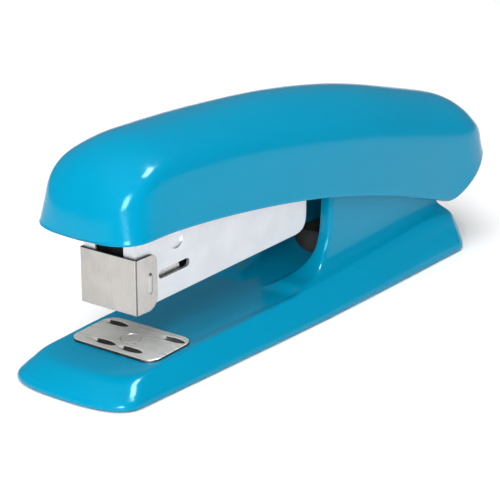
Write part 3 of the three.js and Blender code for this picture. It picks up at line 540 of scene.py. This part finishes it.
def handle_rings():
    """Closed loops round the shell's wall: outside, round the lower edge and back along the inside."""
    outer_stations = handle_stations(SKIN_INSET, *STATION_STEPS)
    inner_stations = handle_stations(COVER_WALL, *STATION_STEPS)
    mirror = np.array([-1, 1, 1])
    rings = []
    for outer_y, inner_y in zip(outer_stations, inner_stations):
        outer = [np.array([x, outer_y, z]) for x, z in handle_section(outer_y, SKIN_INSET, *SECTION_STEPS)]
        inner = [np.array([x, inner_y, z]) for x, z in handle_section(inner_y, COVER_WALL, *SECTION_STEPS)]
        rim, back = outer.pop(), inner.pop()
        back = np.array([back[0], back[1], rim[2]])
        edge = min(0.45, 0.3 * np.linalg.norm(outer[0] - rim))
        up = np.array([0, 0, edge])
        along = (back - rim) * 0.3
        rounding = [rim + up, rim + 0.3 * up + 0.09 * along, rim + 0.09 * up + 0.3 * along, rim + along]
        rounding += [back - along * 0.8, back + 0.8 * up]
        side = outer + rounding + inner[::-1]
        rings.append(side + [p * mirror for p in side[-2:0:-1]])
    return rings


def tube(centre, outer_radius, inner_radius, low, high, sides=32):
    """Points and faces of an upright tube: its four rings run outside, over the top and down the bore."""
    points = []
    for radius, z in ((outer_radius, low), (outer_radius, high), (inner_radius, high), (inner_radius, low)):
        for k in range(sides):
            angle = 2 * math.pi * k / sides
            points.append((centre[0] + radius * math.cos(angle), centre[1] + radius * math.sin(angle), z))
    faces = ring_faces(4, sides, closed_ends=False)
    for i in range(sides):
        j = (i + 1) % sides
        faces.append((3 * sides + i, 3 * sides + j, j, i))
    return points, faces


def make_handle():
    """The handle's shell, and a screw boss inside it for each of the two cover screws."""
    rings = handle_rings()
    count = len(rings[0])
    points = [p for ring in rings for p in ring]
    faces = ring_faces(len(rings), count, closed_ends=False)
    cover = add_piece("handle_moulding", points, faces, plastic, "handle", ["handle_cover"])
    close_ends(cover)
    for index, screw in enumerate(("cover_screw_front", "cover_screw_rear")):
        low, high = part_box(screw)
        y = (low.y + high.y) / 2 / MM - PLATE_FRONT
        floor, roof = ridge_line(y - 3) - BOSS_DROP, crown_line(y) - BOSS_GAP
        boss_points, boss_faces = tube((0, y), BOSS_OUTER, BOSS_BORE, floor, roof)
        name = f"screw_boss_{index}"
        boss = add_piece(name, boss_points, boss_faces, plastic, "handle", [])
        boss.data.shade_flat()


def close_ends(piece):
    """Closes the two tiny slots at the nose and the tail, and makes every face look outward."""
    mesh = bmesh.new()
    mesh.from_mesh(piece.data)
    open_edges = [e for e in mesh.edges if e.is_boundary]
    bmesh.ops.holes_fill(mesh, edges=open_edges, sides=0)
    bmesh.ops.recalc_face_normals(mesh, faces=mesh.faces)
    for face in mesh.faces:
        face.smooth = True
    mesh.to_mesh(piece.data)
    mesh.free()


# ---- anvil ----
def anvil_field(x, y, z):
    """The anvil plate, flat with its top at 0: round corners, four clinch pockets and a sunk hole."""
    reach_x, reach_y = ANVIL_HALF - ANVIL_CORNER, ANVIL_LENGTH / 2 - ANVIL_CORNER
    px, py = np.maximum(np.abs(x) - reach_x, 0), np.maximum(np.abs(y) - reach_y, 0)
    plan = np.sqrt(px * px + py * py) - ANVIL_CORNER
    plate = soft_max(soft_max(plan, z, 0.35), -ANVIL_THICK - z, 0.2)
    for side, place, row in [(side, *pocket) for side in (-1, 1) for pocket in POCKETS]:
        along, across = (x - side * place) / POCKET_HALF_LENGTH, (y - row) / POCKET_HALF_WIDTH
        hollow = POCKET_DEPTH * (1 - along * along - across * across)
        plate = soft_max(plate, 0.6 * (z + hollow), 0.03)
    centre = np.sqrt(x * x + y * y)
    counterbore = soft_max(centre - SINK_RADIUS, -SINK_DEPTH - z, 0.1)
    return soft_max(soft_max(plate, -counterbore, 0.1), ANVIL_HOLE - centre, 0.1)


def tilt_to_anvil(piece):
    """Moves a piece made flat at the origin to the anvil's sloping place."""
    home = Vector((0, PLATE_FRONT + ANVIL_Y, ANVIL_TOP)) * MM
    origin = Matrix.Translation(Vector((0, -PLATE_FRONT * MM, 0)))
    piece.data.transform(Matrix.Translation(home) @ Matrix.Rotation(ANVIL_SLOPE, 4, "X") @ origin)


def make_anvil():
    """The anvil plate, with painted shade: near-black steel on its edge faces and on the pocket faces turned
    away from +X, where shadow falls.
    """
    margin = 0.3
    low = (-ANVIL_HALF - margin, -ANVIL_LENGTH / 2 - margin, -ANVIL_THICK - margin)
    high = (ANVIL_HALF + margin, ANVIL_LENGTH / 2 + margin, 0.45)
    nodes = ["anvil_plate"]
    plate = skin(
        "anvil_pressing", anvil_field, low, high, ANVIL_STEP, anvil_nickel, "anvil", nodes
    )
    plate.data.materials.append(painted_shade_steel)
    edge_band, pocket_floor, pocket_mouth, past_counterbore = 0.3, -0.75, -0.12, 2.8
    for face in plate.data.polygons:
        x, y, z = face.center / MM
        from_centre = math.hypot(x, y - PLATE_FRONT)
        past_side = abs(x) - ANVIL_HALF + edge_band
        past_end = abs(y - PLATE_FRONT) - ANVIL_LENGTH / 2 + edge_band
        beyond = max(past_side, past_end)
        # Painted shade: the plate's edge faces get the near-black steel, standing in for the shadow along its
        # edges
        if abs(face.normal.z) < 0.6 and (beyond > 0 or from_centre > ANVIL_LENGTH / 2 + 2):
            face.material_index = 1
        # Painted shade: pocket faces turned away from +X get the near-black steel, standing in for the shadow
        # inside the pockets
        in_pocket = beyond < 0 and pocket_floor < z < pocket_mouth and from_centre > past_counterbore
        if in_pocket and face.normal.x < 0.2:
            face.material_index = 1
    tilt_to_anvil(plate)


# ---- front plate ----
def corner_cut(radius, distance):
    """How much a round corner takes off a tab's height at a distance from its end."""
    return radius - math.sqrt(max(radius**2 - max(radius - distance, 0) ** 2, 0))


def make_front_plate():
    """A sheet bent round the channel's nose, with round tab corners, a raised bead on each tab, a painted
    dark reflection line on each bend and painted shade on its edges.
    """
    bend, step = 0.55, 0.18
    top_corner, low_corner = 1.8, 3
    bead_y, bead_z, bead_straight, bead_radius, bead_height = 4.6, 22.2, 1.7, 0.62, 0.33
    painted_shade_from, painted_shade_to = 0.5, 1.1
    straight = PLATE_HALF - bend
    tab = PLATE_TAB - bend
    quarter = math.pi / 2 * bend
    total = straight + quarter + tab
    spans = int(total / step)
    rows = 60
    points, sides = [], []
    for i in range(-spans, spans + 1):
        s = abs(i) / spans * total
        side = 1 if i >= 0 else -1
        turn = min(max(s - straight, 0) / bend, math.pi / 2)
        x = min(s, straight) + bend * math.sin(turn)
        y = bend * (1 - math.cos(turn)) + max(s - straight - quarter, 0)
        near_end = PLATE_TAB - y
        drop = corner_cut(top_corner, near_end)
        rise = corner_cut(low_corner, near_end)
        for k in range(rows + 1):
            z = PLATE_LOW + rise + (PLATE_TOP - drop - PLATE_LOW - rise) * k / rows
            past_straight = max(abs(z - bead_z) - bead_straight, 0)
            reach = math.hypot((y - bead_y) / bead_radius, past_straight / bead_radius)
            bead = bead_height * max(1 - reach**2, 0) ** 0.7 if turn > 1.5 else 0
            points.append((side * (x + bead), y, z))
    count = rows + 1
    for i in range(2 * spans):
        for k in range(rows):
            a = i * count + k
            sides.append((a, a + count, a + count + 1, a + 1))
    plate = add_piece("bent_front_plate", points, sides, nickel, "magazine", ["front_plate"])
    # Painted dark reflection: a strip of faces on each bend gets the near-black steel as a dark line
    plate.data.materials.append(painted_shade_steel)
    for face in plate.data.polygons:
        turn = math.asin(min(max((abs(face.center.x) / MM - straight) / bend, 0), 1))
        face.material_index = 1 if painted_shade_from < turn < painted_shade_to else 0
    wall = plate.modifiers.new("wall", "SOLIDIFY")
    wall.thickness = PLATE_THICK * MM
    wall.offset = -1
    # The rim takes material 1, the near-black steel: painted shade on the plate's edges
    wall.material_offset_rim = 1
    edge = plate.modifiers.new("edge", "BEVEL")
    edge.width = 0.07 * MM
    edge.segments = 2
    edge.limit_method = "ANGLE"
    edge.angle_limit = math.radians(60)


# ---- springs ----
def make_wire(name, points, radius, node, bodies, start, end, sides=10):
    """Round wire through points, baked in place as one fixed mesh; bodies, start and end are not used."""
    path = np.array(points, float)
    ways = np.gradient(path, axis=0)
    ways /= np.linalg.norm(ways, axis=1)[:, None]
    across = np.array([0.3, 0.5, 0.8])
    surface = []
    for place, way in zip(path, ways):
        across = across - way * (across @ way)
        across /= np.linalg.norm(across)
        upright = np.cross(way, across)
        for k in range(sides):
            angle = 2 * math.pi * k / sides
            surface.append(place + radius * (math.cos(angle) * across + math.sin(angle) * upright))
    faces = ring_faces(len(path), sides)
    spring = add_piece(name, surface, faces, spring_steel, None, [node])
    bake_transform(spring)


def torsion_points(x0, x1, first, last, first_angle, last_angle):
    """Torsion spring round the pin, with a straight leg at each end given as (y, z)."""
    radius, turns, count = 3.1, 3, 96
    points = [(x0, *first)]
    for k in range(count + 1):
        angle = first_angle + (turns * 2 * math.pi + last_angle - first_angle) * k / count
        x = x0 + (x1 - x0) * k / count
        points.append((x, PIVOT_Y + radius * math.cos(angle), PIVOT_Z + radius * math.sin(angle)))
    return [*points, (x1, *last)]


def on_channel(x, y, z):
    """A point given in the channel's sloping frame."""
    c, s = math.cos(CHANNEL_SLOPE), math.sin(CHANNEL_SLOPE)
    return (x, y * c - z * s, y * s + z * c + CHANNEL_LOW)


def on_anvil_axis(x, y, z):
    """A point given on the anvil's sloping axis, with its top at height 0."""
    c, s = math.cos(ANVIL_SLOPE), math.sin(ANVIL_SLOPE)
    return (x, ANVIL_Y + y * c - z * s, ANVIL_TOP + y * s + z * c)


def make_springs():
    """The two torsion springs on the pin, the pusher's spring and the anvil's spring."""
    quarter, torsion_wire = math.pi / 2, 0.4
    arm = torsion_points(-1.9, -5, (95.5, 8.5), (97, 17.5), -quarter, quarter)
    handle = torsion_points(1.9, 5, (97, 21.5), (93, 30.2), -quarter, quarter)
    arm_ends = [(x, PIVOT_Y, PIVOT_Z) for x in (-2.1, -4.8)]
    handle_ends = [(x, PIVOT_Y, PIVOT_Z) for x in (2.1, 4.8)]
    arm_bodies, handle_bodies = ("base", "magazine"), ("magazine", "handle")
    make_wire("arm_spring_wire", arm, torsion_wire, "arm_return_spring", arm_bodies, *arm_ends)
    make_wire("handle_spring_wire", handle, torsion_wire, "handle_return_spring", handle_bodies, *handle_ends)

    turns, per_turn, front, rear = 15, 20, 11.3, 51.7
    coil_radius, coil_height = 1.3, 3.8
    coil = []
    for k in range(turns * per_turn + 1):
        angle = 2 * math.pi * k / per_turn
        y = front + (rear - front) * k / (turns * per_turn)
        height = coil_height + coil_radius * math.sin(angle)
        coil.append(on_channel(coil_radius * math.cos(angle), y, height))
    coil_ends = [on_channel(0, y, coil_height) for y in (front, rear)]
    coil_bodies = ("pusher", "magazine")
    make_wire("pusher_spring_wire", coil, 0.2, "pusher_spring", coil_bodies, *coil_ends, sides=8)

    low, high, steps, steps_per_turn, lift_radius = -4.7, -3.05, 36, 24, 3.2
    lift = []
    for k in range(steps + 1):
        angle = 2 * math.pi * k / steps_per_turn
        x, y = lift_radius * math.cos(angle), lift_radius * math.sin(angle)
        lift.append(on_anvil_axis(x, y, low + (high - low) * k / steps))
    lift_ends = [on_anvil_axis(0, 0, z) for z in (low, high)]
    lift_bodies = ("anvil_lifter", "base")
    make_wire("anvil_spring_wire", lift, 0.17, "anvil_spring", lift_bodies, *lift_ends, sides=8)


# ---- the CAD nodes that stay, with finished materials and softened edges ----
KEPT = {
    "base_pad": (rubber, 0.15),
    # spring_tray: near-black plastic set in the well, where it stands in for the deep shade there
    "spring_tray": (button_plastic, 0.12),
    "pivot_pin": (bright_steel, 0.25),
    "pin_clip_right": (steel, 0.06),
    "pin_clip_left": (steel, 0.06),
    "anvil_post": (anvil_nickel, 0.08),
    "anvil_button": (button_plastic, 0.15),
    "magazine_channel": (zinc, 0.12),
    "staple_rail": (black_steel, 0.1),
    "rail_rivet_front": (steel, 0.08),
    "rail_rivet_rear": (steel, 0.08),
    "guide_rod": (bright_steel, 0.1),
    "spring_cross_pin": (bright_steel, 0.1),
    "spring_sleeve": (button_plastic, 0.1),
    "pusher": (nickel, 0.1),
    "handle_frame": (steel, 0.12),
    "driver_blade": (black_steel, 0.06),
    "driver_rivet_right": (steel, 0.08),
    "driver_rivet_left": (steel, 0.08),
    "cover_screw_front": (steel, 0.1),
    "cover_screw_rear": (steel, 0.1),
}


def finish_cad_nodes():
    """Gives each kept CAD node its material and a small bevel of its own width."""
    for name, (material, edge) in KEPT.items():
        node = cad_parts[name]
        node.data.materials.clear()
        node.data.materials.append(material)
        bevel = node.modifiers.new("soft_edges", "BEVEL")
        bevel.width = edge * MM
        bevel.segments = 2
        bevel.limit_method = "ANGLE"
        bevel.angle_limit = math.radians(35)
        bevel.harden_normals = False


# ---- stage, light and camera ----
def make_floor():
    """A pale floor, 6 m square, that is not part of the stapler."""
    points = [(-3, -3, 0), (3, -3, 0), (3, 3, 0), (-3, 3, 0)]
    mesh = bpy.data.meshes.new("floor")
    mesh.from_pydata(points, [], [(0, 1, 2, 3)])
    material, nodes, links, shader, place = new_material("pale_floor", (0.9, 0.9, 0.9), 0, 0.7)
    cloud = noise(nodes, links, place, EVEN, 40)
    shade = tint(nodes, links, cloud, (0.89, 0.89, 0.89), (0.91, 0.91, 0.91))
    links.new(shade, shader.inputs["Base Color"])
    mesh.materials.append(material)
    floor = bpy.data.objects.new("floor", mesh)
    bpy.context.scene.collection.objects.link(floor)


def softbox(name, direction, distance, size, power, lights_surfaces=True, shows_in_gloss=True):
    """An area light that faces the stapler; it can be kept off surfaces or out of reflections."""
    light = bpy.data.lights.new(name, "AREA")
    light.shape = "RECTANGLE"
    light.size, light.size_y = size
    light.energy = power
    holder = bpy.data.objects.new(name, light)
    bpy.context.scene.collection.objects.link(holder)
    way = Vector(direction).normalized()
    holder.location = Vector((0, 0, 0.03)) + way * distance
    holder.visible_diffuse = lights_surfaces
    holder.visible_glossy = shows_in_gloss
    holder.rotation_mode = "QUATERNION"
    holder.rotation_quaternion = way.to_track_quat("Z", "Y")


def make_lights():
    """Three boxes that light the surfaces, two windows that only show in reflections, and a dim sky."""
    world = bpy.data.worlds.new("studio")
    world.use_nodes = True
    sky = world.node_tree.nodes["Background"]
    sky.inputs["Color"].default_value = (1, 1, 1, 1)
    sky.inputs["Strength"].default_value = 0.16
    bpy.context.scene.world = world
    bpy.context.scene.view_settings.view_transform = "Standard"
    softbox("ceiling_box", (0.1, -0.3, 1), 1.6, (2.4, 2.4), 46, shows_in_gloss=False)
    softbox("key_box", (0.55, -0.8, 0.42), 1.1, (0.4, 0.5), 8, shows_in_gloss=False)
    softbox("front_box", (-0.1, -1, 0.35), 1.3, (0.9, 0.6), 2, shows_in_gloss=False)
    softbox("key_window", (0.55, -0.8, 0.42), 1.1, (0.3, 0.5), 30, lights_surfaces=False)
    softbox("top_window", (0.3, 0.2, 0.9), 1.2, (0.4, 0.3), 24, lights_surfaces=False)


def make_camera():
    """The camera, placed from the foot of the front plate along its own right, up and back directions."""
    data = bpy.data.cameras.new("camera")
    data.sensor_width = 36
    data.lens = 152.7
    data.clip_start, data.clip_end = 0.01, 20
    camera = bpy.data.objects.new("camera", data)
    bpy.context.scene.collection.objects.link(camera)
    azimuth, elevation, roll = math.radians(38.08), math.radians(19.5), math.radians(-0.29)
    right_shift, up_shift, distance = 30.42, 12.63, 456.7
    flat = math.cos(elevation)
    back = Vector((math.sin(azimuth) * flat, -math.cos(azimuth) * flat, math.sin(elevation)))
    right = Vector((math.cos(azimuth), math.sin(azimuth), 0))
    up = back.cross(right)
    turned_right = right * math.cos(roll) + up * math.sin(roll)
    turned_up = up * math.cos(roll) - right * math.sin(roll)
    centre = Vector((0, PLATE_FRONT, PLATE_LOW))
    place = centre + turned_right * right_shift + turned_up * up_shift + back * distance
    camera.matrix_world = Matrix.Translation(place * MM) @ Matrix(
        (turned_right, turned_up, back)
    ).transposed().to_4x4()
    bpy.context.scene.camera = camera


make_base()
make_handle()
make_anvil()
make_front_plate()
make_springs()
finish_cad_nodes()
make_floor()
make_lights()
make_camera()
